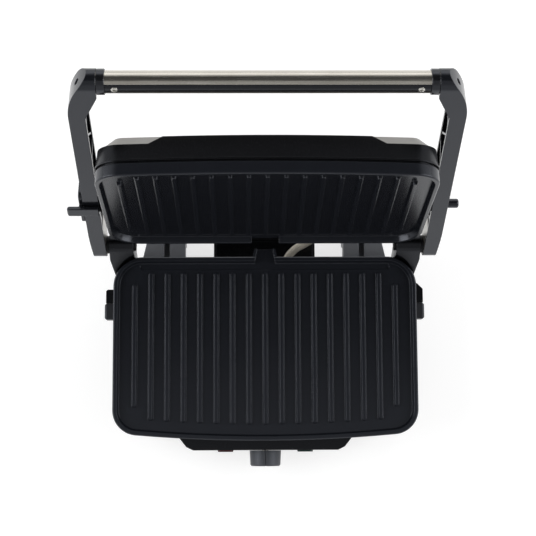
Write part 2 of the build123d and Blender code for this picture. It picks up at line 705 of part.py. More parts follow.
def drip_tray():
    """An open tray under the spout, with round corners and a finger lip at the back."""
    front = REAR_RIM_Y - TRAY_DEPTH_INSIDE
    rear = REAR_RIM_Y + TRAY_REACH
    low = tray_floor()
    high = RIM_HEIGHT - TRAY_TOP_DROP
    middle = Pos(0, (front + rear) / 2, low)
    plan = RectangleRounded(2 * TRAY_HALF, rear - front, 4 * TRAY_WALL)
    hollow = RectangleRounded(2 * (TRAY_HALF - TRAY_WALL), rear - front - 2 * TRAY_WALL, 3 * TRAY_WALL)
    tray = extrude(middle * plan, high - low, dir=(0, 0, 1))
    tray -= extrude(Pos(0, 0, TRAY_WALL) * middle * hollow, high, dir=(0, 0, 1))
    lip = Pos(0, rear, high - TRAY_WALL) * RectangleRounded(TRAY_HALF, 4 * TRAY_WALL, 1.5 * TRAY_WALL)
    lip = extrude(lip, TRAY_WALL, dir=(0, 0, 1)) - block(
        -TRAY_HALF, TRAY_HALF, front, rear - TRAY_WALL, low, high + TRAY_WALL
    )
    return tray + lip


def cord_gland():
    """The mains inlet bush in the rear wall, with a flange outside."""
    wall = REAR_RIM_Y - wall_inset(gland_z())
    bush = peg_y(GLAND_RADIUS - FLANGE - RUNNING, wall - 3 * BASE_WALL, wall + FLANGE, GLAND_X, gland_z())
    bush += peg_y(GLAND_RADIUS, wall + FLANGE, wall + 3 * FLANGE, GLAND_X, gland_z())
    return bush - hole_y(GLAND_RADIUS / 2, wall - 4 * BASE_WALL, wall + 4 * FLANGE, GLAND_X, gland_z())


def terminal_block():
    """The screw terminals where the leads meet, on the bottom cover."""
    floor = FOOT_HEIGHT + COVER_SHEET
    x = -TRAY_HALF - 3 * GLAND_RADIUS
    y = REAR_RIM_Y - 3 * FOOT_INSET
    front = y - TERMINAL_DEPTH / 2
    top = floor + TERMINAL_HEIGHT
    body = block(x - TERMINAL_HALF, x + TERMINAL_HALF, front, front + TERMINAL_DEPTH, floor, top)
    low = floor + TERMINAL_HEIGHT / 2
    for side in (-1, 1):
        left = x + side * TERMINAL_HALF / 3 - TERMINAL_GROOVE / 2
        body -= block(left, left + TERMINAL_GROOVE, front, front + TERMINAL_DEPTH, low, top)
    return body


def sleeve_z():
    """Height at which the lead sleeve leaves the base."""
    return RIM_HEIGHT - SLEEVE_DROP


def sleeve_points():
    """The lead sleeve's route, chosen by hand, from inside the base to inside the open lid."""
    route = [(15, -14, -33), (22, 8, -32), (45, 19, -25), (61.5, 28.5, -4), (65.5, 36, 21.5)]
    return [Vector(x, REAR_RIM_Y + y, RIM_HEIGHT + z) for x, y, z in route]


def link_sleeve():
    """The braided sleeve that carries the lid's leads, bent in arcs as large as its runs allow."""
    points = sleeve_points()
    runs = [b - a for a, b in zip(points, points[1:])]
    radii = []
    for first, second in zip(runs, runs[1:]):
        turn = radians(first.get_angle(second))
        radii.append(SLEEVE_BEND * min(first.length, second.length) / tan(turn / 2))
    print("lead sleeve radii", [round(radius, 1) for radius in radii])
    path = FilletPolyline(*points, radius=radii)
    section = tube_section(path, SLEEVE_RADIUS)
    sleeve = sweep(section, path=path)
    print("lead sleeve volume", round(sleeve.volume), "of", round(section.area * path.length))
    return sleeve


def grommet_radius():
    """Radius of the grommet's neck in the rear wall."""
    return SLEEVE_BORE / 2 + FLANGE


def base_grommet():
    """The bush that lets the lead sleeve out through the tub's rear wall."""
    wall = REAR_RIM_Y - wall_inset(sleeve_z())
    x = grommet_x()
    ring = peg_y(grommet_radius() - RUNNING, wall - BASE_WALL, wall, x, sleeve_z())
    return ring - hole_y(SLEEVE_BORE / 2, wall - 2 * BASE_WALL, wall + FLANGE, x, sleeve_z())


def grommet_x():
    """Where the sleeve crosses the rear wall, seen from behind."""
    start, end = sleeve_points()[:2]
    wall = REAR_RIM_Y - wall_inset(sleeve_z()) / 2 - (BASE_DRAFT + BASE_WALL) / 2
    return start.X + (end.X - start.X) * (wall - start.Y) / (end.Y - start.Y)


def heating_element():
    """A tubular heater with pressed flats, bent into a U just under the lower plate."""
    z = PLATE_UNDERSIDE - TUBE_RADIUS - LOOSE / 2
    x = HALF - ELEMENT_INSET
    rear = REAR_RIM_Y - ELEMENT_INSET
    front = FRONT_RIM_Y + ELEMENT_INSET
    path = FilletPolyline((-x, rear, z), (-x, front, z), (x, front, z), (x, rear, z), radius=ELEMENT_BEND)
    return sweep(tube_section(path, TUBE_RADIUS), path=path)


def tube_section(path, radius):
    """An eight-sided section, flats above and below, at the start of a path."""
    start = Plane(path @ 0, x_dir=(path % 0).cross(Vector(0, 0, 1)), z_dir=path % 0)
    return start * RegularPolygon(radius, 8, rotation=22.5)


def reflector():
    """A thin steel sheet with a pressed pan, on the ledge, that throws the heat up at the lower plate."""
    low = LEDGE - PAN_DEPTH
    sheet = hollow(RIM_WALL + LOOSE, LEDGE, LEDGE + STEEL)
    edge = BASE_DRAFT + BASE_WALL + REAR_CORNER / 2
    sheet += pan_block(edge, low, LEDGE)
    return sheet - pan_block(edge + STEEL, low + STEEL, LEDGE + STEEL)


def pan_block(inset, low, high):
    """A plain block inside the outline."""
    half = HALF - inset
    return block(-half, half, FRONT_RIM_Y + FRONT_BOW + inset, REAR_RIM_Y - inset, low, high)


def in_lid(part):
    """A lower piece turned over into the closed lid."""
    return Pos(0, 0, CLOSED_GAP) * mirror(part, Plane.XY.offset(RIM_HEIGHT))


def on_slope(sketch, height):
    """A plan laid on the lid's sloping top, at a height above it."""
    tilt = Pos(0, FRONT_RIM_Y, LID_RIM + LID_FRONT_WALL) * Rot(LID_SLOPE, 0, 0)
    return tilt * Pos(0, -FRONT_RIM_Y, height) * sketch


def slope_normal():
    """The direction square to the lid's sloping top."""
    return (0, -sin(radians(LID_SLOPE)), cos(radians(LID_SLOPE)))


def slope_prism(inset, low, high):
    """The outline, inset, as a block square to the lid's sloping top."""
    return extrude(on_slope(outline(inset), low), high - low, dir=slope_normal())


def lid_top():
    """A height above everything on the closed lid's wall."""
    return LID_RIM + LID_REAR_WALL + HUMP_RISE


def lid_outside():
    """The lid wall's outer form before its top is cut to the slope, drawn in upwards."""
    return tapered(0, LID_BASE, LID_DRAFT, lid_top())


def lid_housing():
    """The lid's moulded wall: wedge-shaped, with a bead, a front hump and a slot for the leads."""
    top = lid_top()
    groove = LID_BASE + LID_REVEAL
    wall = lid_outside() + prism(-BEAD, groove, groove + 2 * BEAD)
    wall -= hollow(RIM_WALL, LID_BASE, LID_LEDGE)
    wall -= hollow(RIM_WALL + LEDGE_WIDTH, LID_LEDGE, top)
    wall -= prism(-SEAM, LID_BASE, groove) - prism(LID_REVEAL, LID_BASE, groove)
    hump_plan = make_face(
        Polyline((-HUMP_FOOT, 0), (-HUMP_HALF, HUMP_RISE), (HUMP_HALF, HUMP_RISE), (HUMP_FOOT, 0), close=True)
    )
    hump = extrude(
        Pos(0, FRONT_RIM_Y - SEAM, LID_RIM + LID_FRONT_WALL) * (Plane.XZ * hump_plan),
        FRONT_BOW + 2 * COVER_INSET, dir=(0, 1, 0),
    )
    hump &= lid_outside() - prism(COVER_INSET - RUNNING, LID_BASE, top)
    wall -= slope_prism(-REAR_CORNER, 0, LID_REAR_WALL)
    wall += hump
    wall -= slope_prism(COVER_INSET - RUNNING, -2 * STEEL, SEAM)
    slot_z = LID_RIM + sleeve_lid_height()
    slot = Plane.XZ * Pos(SLEEVE_X, slot_z + FLOAT_TRAVEL / 2) * Rot(0, 0, 90) * SlotOverall(
        SLEEVE_BORE + FLOAT_TRAVEL, SLEEVE_BORE
    )
    inner = REAR_RIM_Y - BASE_DRAFT - LID_DRAFT
    return wall - extrude(Pos(0, inner, 0) * slot, REAR_RIM_Y + REVEAL - inner, dir=(0, 1, 0))


def sleeve_lid_height():
    """How high above the upper rim the sleeve meets the open lid's rear wall."""
    end = sleeve_points()[-1]
    back = end.Y - HINGE_Y
    up = end.Z - HINGE_Z
    turn = radians(OPEN_ANGLE)
    return back * sin(turn) + up * cos(turn) + HINGE_Z - LID_RIM - FLOAT_TRAVEL


def slope_crown(plan, high):
    """The raised middle of the lid's top, its borders leaning in."""
    lean = degrees(atan(COVER_SLOPE_WIDTH / COVER_RISE))
    return extrude(on_slope(plan, 0), high, dir=slope_normal(), taper=lean)


def lid_top_cover():
    """The pressed steel top: a short skirt, sloping borders and a flat crown."""
    outer = slope_prism(COVER_INSET, -2 * STEEL, 0) + slope_crown(outline(COVER_INSET), COVER_RISE)
    under = hollow_plan(COVER_INSET + 2 * STEEL)
    inner = extrude(on_slope(under, -2 * STEEL), 2 * STEEL, dir=slope_normal())
    return outer - inner - slope_crown(under, COVER_RISE - STEEL)


def guide_plan(length, width):
    """A block's section in the plane of the arms, upright when the lid is closed."""
    plane = Plane(origin=(0, GUIDE_Y, GUIDE_Z), x_dir=(0, 0, 1), z_dir=(-1, 0, 0))
    return plane * Rectangle(length, width)


def guide_end():
    """How far out the guide slots reach, leaving room for the lock slider's key behind them."""
    return ARM_OUTER - ARM_WALL - 2 * FLANGE


def lid_guide():
    """The left guide block, fixed to the lid's side and running in the arm's slot."""
    start = HALF - LID_DRAFT
    plan = Pos(-start, 0, -FLOAT_TRAVEL / 2) * guide_plan(GUIDE_LENGTH, GUIDE_WIDTH)
    return extrude(plan, guide_end() - SEAM - start, dir=(-1, 0, 0)) - lid_outside()


def lid_guide_right():
    """The right guide block, whose round end shows outside the arm."""
    spot = Pos(HALF, GUIDE_Y, GUIDE_Z - FLOAT_TRAVEL / 2) * Rot(0, 90, 0)
    stub = extrude(spot * RegularPolygon(STUB_RADIUS, FACETS), ARM_OUTER + STUB_REACH - HALF, dir=(1, 0, 0))
    stub = chamfer(stub.faces().sort_by(Axis.X)[-1].edges(), STUB_RADIUS / 4)
    return mirrored(lid_guide()) + stub


def arm_profile(shrink):
    """The arm seen from the side: a hull round the hinge, the guide and the handle."""
    spots = [
        (0, 0, ARM_END_RADIUS),
        (ARM_MID, ARM_MID_RISE, ARM_MID_RADIUS),
        (ARM_LENGTH, 0, HANDLE_END_RADIUS),
    ]
    rounds = Sketch() + [Pos(u, w) * Circle(radius - shrink) for u, w, radius in spots]
    return ARM_PLANE * make_hull(rounds.edges())


def arm_pocket():
    """The pocket's straight-sided outline, a wall's thickness inside the arm's."""
    start = 3 * PIN_RADIUS
    end = ARM_LENGTH - POCKET_END
    root = ARM_END_RADIUS - ARM_WALL
    middle = ARM_MID_RADIUS - ARM_WALL
    tip = HANDLE_END_RADIUS - ARM_WALL
    upper = [(start, root), (ARM_MID, middle + ARM_MID_RISE), (end, tip)]
    lower = [(end, -tip), (ARM_MID, ARM_MID_RISE - middle), (start, -root)]
    return ARM_PLANE * make_face(Polyline(*upper, *lower, close=True))


def arm_plan():
    """The arm seen from above: straight, drawn in at the hinge, bent in to the handle."""
    tip = ARM_LENGTH + HANDLE_END_RADIUS + SEAM
    bend = ARM_LENGTH - SHOULDER_LENGTH
    heel = -ARM_END_RADIUS - SEAM
    inner = Polyline(
        (heel, ARM_INNER), (bend, ARM_INNER), (ARM_LENGTH - NECK_LENGTH, SOCKET_INNER),
        (tip, SOCKET_INNER), (tip, ARM_INNER - TIP_INSET),
    )
    shoulder = RadiusArc((tip, ARM_INNER - TIP_INSET), (bend, ARM_OUTER), -SHOULDER_RADIUS)
    outer = Line((bend, ARM_OUTER), (ARM_MID / 2, ARM_OUTER))
    heel_arc = ThreePointArc(
        (ARM_MID / 2, ARM_OUTER), (ARM_MID / 6, ARM_OUTER - ARM_GAP / 3), (heel, ARM_OUTER - ARM_GAP)
    )
    close = Line((heel, ARM_OUTER - ARM_GAP), (heel, ARM_INNER))
    return ARM_PLAN * make_face(inner + shoulder + outer + heel_arc + close)


def arm_webs():
    """Thin diagonal webs that stiffen the arm's open side."""
    start = ARM_MID + 1.2 * GUIDE_LENGTH
    step = (ARM_LENGTH - POCKET_END - start) / WEB_STEPS
    reach = ARM_MID_RADIUS
    webs = []
    for number in range(WEB_STEPS):
        low = reach if number % 2 else -reach
        ends = [(start + number * step, low), (start + (number + 1) * step, -low)]
        web = ARM_PLANE * Pos(0, 0, ARM_INNER + SEAM) * make_face(offset_line(ends, WEB))
        webs.append(extrude(web, ARM_WIDTH - ARM_WALL, dir=(-1, 0, 0)))
    return webs


def offset_line(ends, width):
    """A thin rectangle's outline along a line between two points."""
    start = Vector(*ends[0])
    end = Vector(*ends[1])
    side = (end - start).normalized().rotate(Axis.Z, 90) * (width / 2)
    return Polyline(start + side, end + side, end - side, start - side, close=True)


def hinge_sheet_block(clear, reach):
    """The hinge sheet's outline, its ends like an octagon's, as a block from the middle of the press."""
    half = ARM_END_RADIUS - HINGE_SHEET_MARGIN + clear
    side = half * tan(radians(180 / 8))
    far = HINGE_SHEET_LENGTH + side
    end = HINGE_SHEET_LENGTH + half
    outline = Polyline(
        (-half, -side), (-side, -half), (far, -half), (end, -side),
        (end, side), (far, half), (-side, half), (-half, side), close=True,
    )
    return extrude(ARM_PLANE * make_face(outline), reach, dir=(-1, 0, 0))


def hinge_sheet():
    """The left arm's steel sheet, let into its inner face round the pin."""
    sheet = hinge_sheet_block(0, ARM_INNER + HINGE_SHEET) - hinge_sheet_block(SEAM, ARM_INNER)
    hole = ARM_PLANE * RegularPolygon(PIN_RADIUS + LOOSE, SCREW_SIDES, major_radius=False)
    return sheet - extrude(hole, ARM_OUTER, dir=(-1, 0, 0))


def arm():
    """The left arm: an open channel with a hinge boss, a guide slot and a handle socket."""
    reach = 3 * ARM_MID_RADIUS
    solid = extrude(arm_profile(0), ARM_OUTER + SEAM, dir=(-1, 0, 0))
    solid &= extrude(arm_plan(), reach, both=True)
    pocket = extrude(arm_pocket(), ARM_OUTER - ARM_WALL, dir=(-1, 0, 0))
    ribs = Part() + arm_webs()
    boss = extrude(guide_plan(GUIDE_LENGTH + FLOAT_TRAVEL + 2 * GUIDE_WALL, GUIDE_WIDTH + 2 * GUIDE_WALL),
                   ARM_OUTER, dir=(-1, 0, 0))
    solid -= pocket - ribs - boss
    slot_length = GUIDE_LENGTH + FLOAT_TRAVEL + 2 * RUNNING
    slot = guide_plan(slot_length, GUIDE_WIDTH + 2 * RUNNING)
    solid -= extrude(slot, guide_end(), dir=(-1, 0, 0))
    solid -= hinge_sheet_block(RUNNING, ARM_INNER + HINGE_SHEET)
    bore_depth = ARM_OUTER - 2 * ARM_WALL + SEAM
    solid -= ARM_PLANE * Pos(0, 0, ARM_OUTER / 2) * Cylinder(PIN_RADIUS + RUNNING, bore_depth)
    socket = Pos(ARM_LENGTH, 0, (SOCKET_INNER + SOCKET_DEPTH) / 2)
    solid -= ARM_PLANE * socket * Cylinder(HANDLE_RADIUS + RUNNING, SOCKET_INNER + SOCKET_DEPTH)
    hole = Pos(ARM_LENGTH, 0, (SOCKET_INNER + ARM_OUTER) / 2)
    return solid - ARM_PLANE * hole * Cylinder(SCREW_HEAD + RUNNING, ARM_OUTER - SOCKET_INNER)


def arm_left():
    """The left arm, with a keyway in its outer wall for the lock slider."""
    length = KEY_LENGTH + SLIDER_TRAVEL + 2 * LOOSE
    middle = KEY_MID + SLIDER_TRAVEL / 2
    key = Pos(middle, 0, ARM_OUTER) * Box(length, KEY_WIDTH + 2 * RUNNING, 3 * ARM_WALL)
    width = KEY_WIDTH + 2 * FLANGE + 2 * LOOSE
    head = Pos(middle, 0, ARM_OUTER - ARM_WALL - FLANGE) * Box(length, width, 2 * FLANGE)
    return arm() - ARM_PLANE * key - ARM_PLANE * head


def arm_right():
    """The right arm, with a slot in its outer wall for the guide's round end."""
    width = 2 * (STUB_RADIUS + LOOSE)
    slot = extrude(guide_plan(width + FLOAT_TRAVEL, width), ARM_OUTER + SEAM, dir=(-1, 0, 0))
    return mirrored(arm() - slot)


def handle_bar(radius, half):
    """A round bar along the handle's axis."""
    return ARM_PLANE * Pos(ARM_LENGTH, 0, 0) * Cylinder(radius, 2 * half)


def handle_wedge(half):
    """The sector of the handle that the plastic strip fills, on the closed handle's underside."""
    far = 3 * HANDLE_RADIUS
    left = (far * sin(radians(STRIP_HALF_ANGLE)), -far * cos(radians(STRIP_HALF_ANGLE)))
    sector = make_face(Polyline((0, 0), left, (-left[0], left[1]), close=True))
    return extrude(ARM_PLANE * Pos(ARM_LENGTH, 0, half) * sector, 2 * half, dir=(1, 0, 0))


def handle_half():
    """Half the length of the handle's cover, into both sockets."""
    return SOCKET_INNER + SOCKET_DEPTH - SEAM


def handle_core():
    """The plastic bar inside the handle, with the strip that shows along its underside."""
    half = handle_half()
    section = RegularPolygon(HANDLE_RADIUS - HANDLE_SHEET - RUNNING, FACETS)
    core = extrude(ARM_PLANE * Pos(ARM_LENGTH, 0, half) * section, 2 * half, dir=(1, 0, 0))
    strip = handle_bar(HANDLE_RADIUS - HANDLE_SHEET / 2, half) & handle_wedge(half)
    core += strip
    for side in (-1, 1):
        core -= strip_screw(side, RUNNING)
    return core


def handle_cover():
    """The steel cover round the handle, open along the underside."""
    half = handle_half()
    tube = handle_bar(HANDLE_RADIUS, half) - handle_bar(HANDLE_RADIUS - HANDLE_SHEET, half)
    return tube - handle_wedge(half)


def strip_screw(side, clear):
    """One of the screws in the handle's strip, near its ends."""
    x = side * (SOCKET_INNER - COLLAR_LENGTH - STRIP_SCREW_INSET)
    depth = HANDLE_RADIUS - HANDLE_SHEET / 2
    spot = ARM_PLANE * Pos(ARM_LENGTH, -depth - clear, -x) * Rot(-90, 0, 0)
    return extrude(spot * RegularPolygon(SCREW_HEAD + clear, SCREW_SIDES), SCREW_HEAD + 2 * clear)


def handle_collars():
    """The black rings between the handle and the arms."""
    x = SOCKET_INNER - SEAM / 2
    ring = handle_bar(COLLAR_RADIUS, x) - handle_bar(COLLAR_RADIUS + SEAM, x - COLLAR_LENGTH)
    bore = RegularPolygon(HANDLE_RADIUS + RUNNING, FACETS, major_radius=False)
    ring -= extrude(ARM_PLANE * Pos(ARM_LENGTH, 0, x) * bore, 2 * x, dir=(1, 0, 0))
    return ring.solids()


def arm_end_screws():
    """The screws through the arms' ends into the handle."""
    screws = []
    for side in (-1, 1):
        x = handle_half() + SEAM
        spot = ARM_PLANE * Pos(ARM_LENGTH, 0, side * (x + SCREW_HEAD / 2))
        screws.append(extrude(spot * RegularPolygon(SCREW_HEAD, SCREW_SIDES), SCREW_HEAD / 2, both=True))
    return screws


def hinge_lock_slider():
    """The slider on the left arm: a side plate with a key, and a bar with a thumb tab."""
    outer = ARM_OUTER + LOOSE
    face = -ARM_MID_RADIUS + ARM_MID_RISE - 2 * LOOSE
    plan = RectangleRounded(SLIDER_LENGTH, SLIDER_HEIGHT, SLIDER_HEIGHT / 4)
    plate = extrude(ARM_PLANE * Pos(SLIDER_MID, 0, outer) * plan, SLIDER_SHEET, dir=(-1, 0, 0))
    bar = ARM_PLANE * Pos(BAR_MID, face - BAR_SHEET / 2, (ARM_INNER + ARM_OUTER + TAB_REACH) / 2) * Box(
        BAR_WIDTH, BAR_SHEET, ARM_OUTER + TAB_REACH - ARM_INNER
    )
    tip = bar.faces().sort_by(Axis.X)[0]
    bar = chamfer(tip.edges(), 1.2)
    link = ARM_PLANE * Pos(BAR_MID, face / 2 - BAR_SHEET / 2, outer + SLIDER_SHEET / 2) * Box(
        BAR_WIDTH, -face + BAR_SHEET, SLIDER_SHEET
    )
    key = ARM_PLANE * Pos(KEY_MID, 0, outer - (ARM_WALL + 2 * LOOSE) / 2) * Box(
        KEY_LENGTH, KEY_WIDTH, ARM_WALL + 2 * LOOSE
    )
    head = ARM_PLANE * Pos(KEY_MID, 0, ARM_OUTER - ARM_WALL - LOOSE - FLANGE / 2) * Box(
        KEY_LENGTH, KEY_WIDTH + 2 * FLANGE, FLANGE
    )
    return plate + bar + link + key + head


def arm_pieces():
    """Everything that turns with the arms, drawn closed."""
    return {
        "arm_left": arm_left(),
        "arm_right": arm_right(),
        "hinge_sheet_left": hinge_sheet(),
        "hinge_sheet_right": mirrored(hinge_sheet()),
        "handle_core": handle_core(),
        "handle_cover": handle_cover(),
        "handle_collars": handle_collars(),
        "handle_strip_screws": [strip_screw(side, 0) for side in (-1, 1)],
        "arm_end_screws": arm_end_screws(),
        "hinge_lock_slider": hinge_lock_slider(),
    }


def lid_pieces():
    """Everything that floats between the arms, drawn closed and resting on the lower plate."""
    return {
        "lid_housing": lid_housing(),
        "lid_top_cover": lid_top_cover(),
        "upper_grill_plate": upper_grill_plate(),
        "upper_heating_element": in_lid(heating_element()),
        "upper_reflector": in_lid(reflector()),
        "lid_guide_left": lid_guide(),
        "lid_guide_right": lid_guide_right(),
    }


def base_pieces():
    """Everything that stands on the table or slides in what does."""
    button = release_button()
    spring = button_spring()
    ear = hinge_bracket()
    pin = hinge_pin()
    leg = rear_leg()
    return {
        "base_housing": base_housing(),
        "bottom_cover": bottom_cover(),
        "rubber_feet": rubber_feet(),
        "bottom_screws": bottom_screws(),
        "lower_grill_plate": lower_grill_plate(),
        "lower_heating_element": heating_element(),
        "lower_reflector": reflector(),
        "thermostat": thermostat(),
        "thermostat_shaft": thermostat_shaft(),
        "thermostat_knob": thermostat_knob(),
        "red_lamp": lamp(-1),
        "green_lamp": lamp(1),
        "lamp_holders": lamp_holders(),
        "release_button_right": button,
        "release_button_left": mirrored(button),
        "button_spring_right": spring,
        "button_spring_left": mirrored(spring),
        "hinge_bracket_right": ear,
        "hinge_bracket_left": mirrored(ear),
        "hinge_pin_right": pin,
        "hinge_pin_left": mirrored(pin),
        "hinge_washers": hinge_washers(),
        "rear_leg_right": leg,
        "rear_leg_left": mirrored(leg),
        "drip_tray": drip_tray(),
        "cord_gland": cord_gland(),
        "terminal_block": terminal_block(),
        "base_grommet": base_grommet(),
        "link_sleeve": link_sleeve(),
    }


def as_list(piece):
    """A piece's solids, whether it is one shape or a group of them."""
    shapes = piece if isinstance(piece, list) else [piece]
    return [solid for shape in shapes for solid in shape.solids()]


def write(name, piece, lift=None):
    """Turns a lid or arm piece open and writes one file for the node."""
    solids = as_list(piece)
    if lift is not None:
        solids = [opened(solid, lift) for solid in solids]
    export_step(solids[0] if len(solids) == 1 else Compound(children=solids), f"parts/{name}.step")


os.makedirs("parts", exist_ok=True)
for name, piece in base_pieces().items():
    write(name, piece)
for name, piece in arm_pieces().items():
    write(name, piece, 0.0)
for name, piece in lid_pieces().items():
    write(name, piece, FLOAT_TRAVEL)
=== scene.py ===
"""Looks of the panini press: camera, light, finishes and the finely shaped small pieces."""

import math

import bpy
import numpy as np
from mathutils import Matrix, Vector


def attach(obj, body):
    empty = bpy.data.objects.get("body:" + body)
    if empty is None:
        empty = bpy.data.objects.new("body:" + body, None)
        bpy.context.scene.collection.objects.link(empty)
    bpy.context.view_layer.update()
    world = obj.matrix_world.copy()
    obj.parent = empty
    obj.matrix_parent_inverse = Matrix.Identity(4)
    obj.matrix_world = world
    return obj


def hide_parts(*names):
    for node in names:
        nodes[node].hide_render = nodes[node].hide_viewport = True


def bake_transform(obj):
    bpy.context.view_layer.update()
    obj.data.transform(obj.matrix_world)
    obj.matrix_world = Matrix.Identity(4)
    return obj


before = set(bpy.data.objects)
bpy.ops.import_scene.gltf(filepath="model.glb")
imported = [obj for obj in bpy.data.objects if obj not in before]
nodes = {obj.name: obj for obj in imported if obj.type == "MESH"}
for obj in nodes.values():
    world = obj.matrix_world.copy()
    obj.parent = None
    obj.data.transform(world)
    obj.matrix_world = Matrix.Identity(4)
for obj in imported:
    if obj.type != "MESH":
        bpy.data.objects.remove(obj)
scene = bpy.context.scene
scene.view_settings.view_transform = "Standard"
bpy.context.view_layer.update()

MM = 0.001

# Camera: nearly straight down on the opened press, long lens.
SENSOR_MM = 36.0
LENS_MM = 88.55
CAMERA_PLACE_MM = (-18.675, -136.274, 1321.210)
CAMERA_DIP = math.radians(82.643)
CAMERA_YAW = math.radians(0.976)
CAMERA_ROLL = math.radians(0.160)
CAMERA_SEES_M = 20


def aim_camera():
    """Turns the camera from a level look along +Y: dips it, yaws it, then rolls it."""
    ahead = Vector((0, math.cos(CAMERA_DIP), -math.sin(CAMERA_DIP)))
    right = Vector((1, 0, 0))
    down = ahead.cross(right)
    look = ahead * math.cos(CAMERA_YAW) + right * math.sin(CAMERA_YAW)
    across = right * math.cos(CAMERA_YAW) - ahead * math.sin(CAMERA_YAW)
    side = across * math.cos(CAMERA_ROLL) + down * math.sin(CAMERA_ROLL)
    drop = down * math.cos(CAMERA_ROLL) - across * math.sin(CAMERA_ROLL)
    data = bpy.data.cameras.new("photo_camera")
    data.sensor_width = SENSOR_MM
    data.lens = LENS_MM
    data.clip_end = CAMERA_SEES_M
    camera = bpy.data.objects.new("photo_camera", data)
    turn = Matrix((side, -drop, -look)).transposed().to_4x4()
    camera.matrix_world = Matrix.Translation(Vector(CAMERA_PLACE_MM) * MM) @ turn
    scene.collection.objects.link(camera)
    scene.camera = camera


def linear(code):
    """An sRGB hex colour as linear red, green, blue and full alpha."""
    parts = np.array([int(code[i:i + 2], 16) for i in (1, 3, 5)]) / 255
    low = parts / 12.92
    high = ((parts + 0.055) / 1.055) ** 2.4
    return (*np.where(parts <= 0.04045, low, high), 1.0)


def add(tree, kind, settings=None, **sockets):
    """Adds a node: settings are its own fields, sockets are values or outputs to link from.
    A socket's spaces are written as underscores, and a leading n and number is its position."""
    node = tree.nodes.new(kind)
    for field, value in (settings or {}).items():
        setattr(node, field, value)
    for name, value in sockets.items():
        key = int(name[1:]) if name[1:].isdigit() else name.replace("_", " ")
        if isinstance(value, bpy.types.NodeSocket):
            tree.links.new(value, node.inputs[key])
        else:
            node.inputs[key].default_value = value
    return node


def new_material(name):
    """An empty material, its node tree, and a point of object coordinates in millimetres."""
    material = bpy.data.materials.new(name)
    material.use_nodes = True
    tree = material.node_tree
    tree.nodes.clear()
    where = add(tree, "ShaderNodeTexCoord").outputs["Object"]
    point = add(tree, "ShaderNodeVectorMath", {"operation": "SCALE"}, n0=where, Scale=1 / MM)
    return material, tree, point.outputs[0]


# Slow clouds of tone on the moulded and rubbed finishes, the size of a thumb print.
CLOUD_MM = 22.0
# Noise mostly lies between these two values.
NOISE_LOW = 0.3
NOISE_HIGH = 0.7
# How well a face's own facing agrees with the eased one: no painted highlight at the first, the full
# painted edge highlight at the second.
FACING_FLAT = 0.995
FACING_FULL_HIGHLIGHT = 0.86
BEVEL_SAMPLES = 4
# Moulded and coated surfaces mirror a little blue.
COOL = "#EEF3FF"


def moulded(name, dark, light, grain_mm, grain_rise_mm, rough, rough_spread, edge_highlight, edge_mm, ior):
    """A moulded or coated surface: two tones in slow clouds, a fine raised grain, and a painted
    highlight that makes its edges a little paler."""
    material, tree, point = new_material(name)
    clouds = add(tree, "ShaderNodeTexNoise", n0=point, Scale=1 / CLOUD_MM, Detail=3)
    grain = add(tree, "ShaderNodeTexNoise", n0=point, Scale=1 / grain_mm, Detail=2)
    tone = add(tree, "ShaderNodeMix", {"data_type": "RGBA"}, n0=clouds.outputs["Fac"],
               n6=linear(dark), n7=linear(light))
    own = add(tree, "ShaderNodeNewGeometry").outputs["Normal"]
    eased = add(tree, "ShaderNodeBevel", {"samples": BEVEL_SAMPLES}, Radius=edge_mm * MM)
    align = add(tree, "ShaderNodeVectorMath", {"operation": "DOT_PRODUCT"}, n0=own, n1=eased.outputs[0])
    # Painted highlight: where the eased facing turns from the face's own, the colour is mixed towards the
    # paler edge colour, in patches.
    highlight_mask = add(tree, "ShaderNodeMapRange", Value=align.outputs["Value"], From_Min=FACING_FLAT,
               From_Max=FACING_FULL_HIGHLIGHT, To_Min=0, To_Max=1)
    patchy_highlight = add(tree, "ShaderNodeMath", {"operation": "MULTIPLY"}, n0=highlight_mask.outputs[0],
                 n1=clouds.outputs["Fac"])
    colour = add(tree, "ShaderNodeMix", {"data_type": "RGBA"}, n0=patchy_highlight.outputs[0],
                 n6=tone.outputs[2], n7=linear(edge_highlight))
    gloss = add(tree, "ShaderNodeMapRange", Value=grain.outputs["Fac"], From_Min=NOISE_LOW,
                From_Max=NOISE_HIGH, To_Min=rough - rough_spread, To_Max=rough + rough_spread)
    bump = add(tree, "ShaderNodeBump", Height=grain.outputs["Fac"], Distance=grain_rise_mm * MM,
               Strength=1.0, Normal=eased.outputs[0])
    shader = add(tree, "ShaderNodeBsdfPrincipled", Base_Color=colour.outputs[2],
                 Roughness=gloss.outputs[0], Normal=bump.outputs[0], IOR=ior, Specular_Tint=linear(COOL))
    add(tree, "ShaderNodeOutputMaterial", Surface=shader.outputs[0])
    return material


# Rubbed metal: how much the clouds add to the lines, and the sum's usual range.
CLOUD_SHARE = 0.4
RUB_LOW = 0.45
RUB_HIGH = 0.95
RUB_EDGE_MM = 0.3


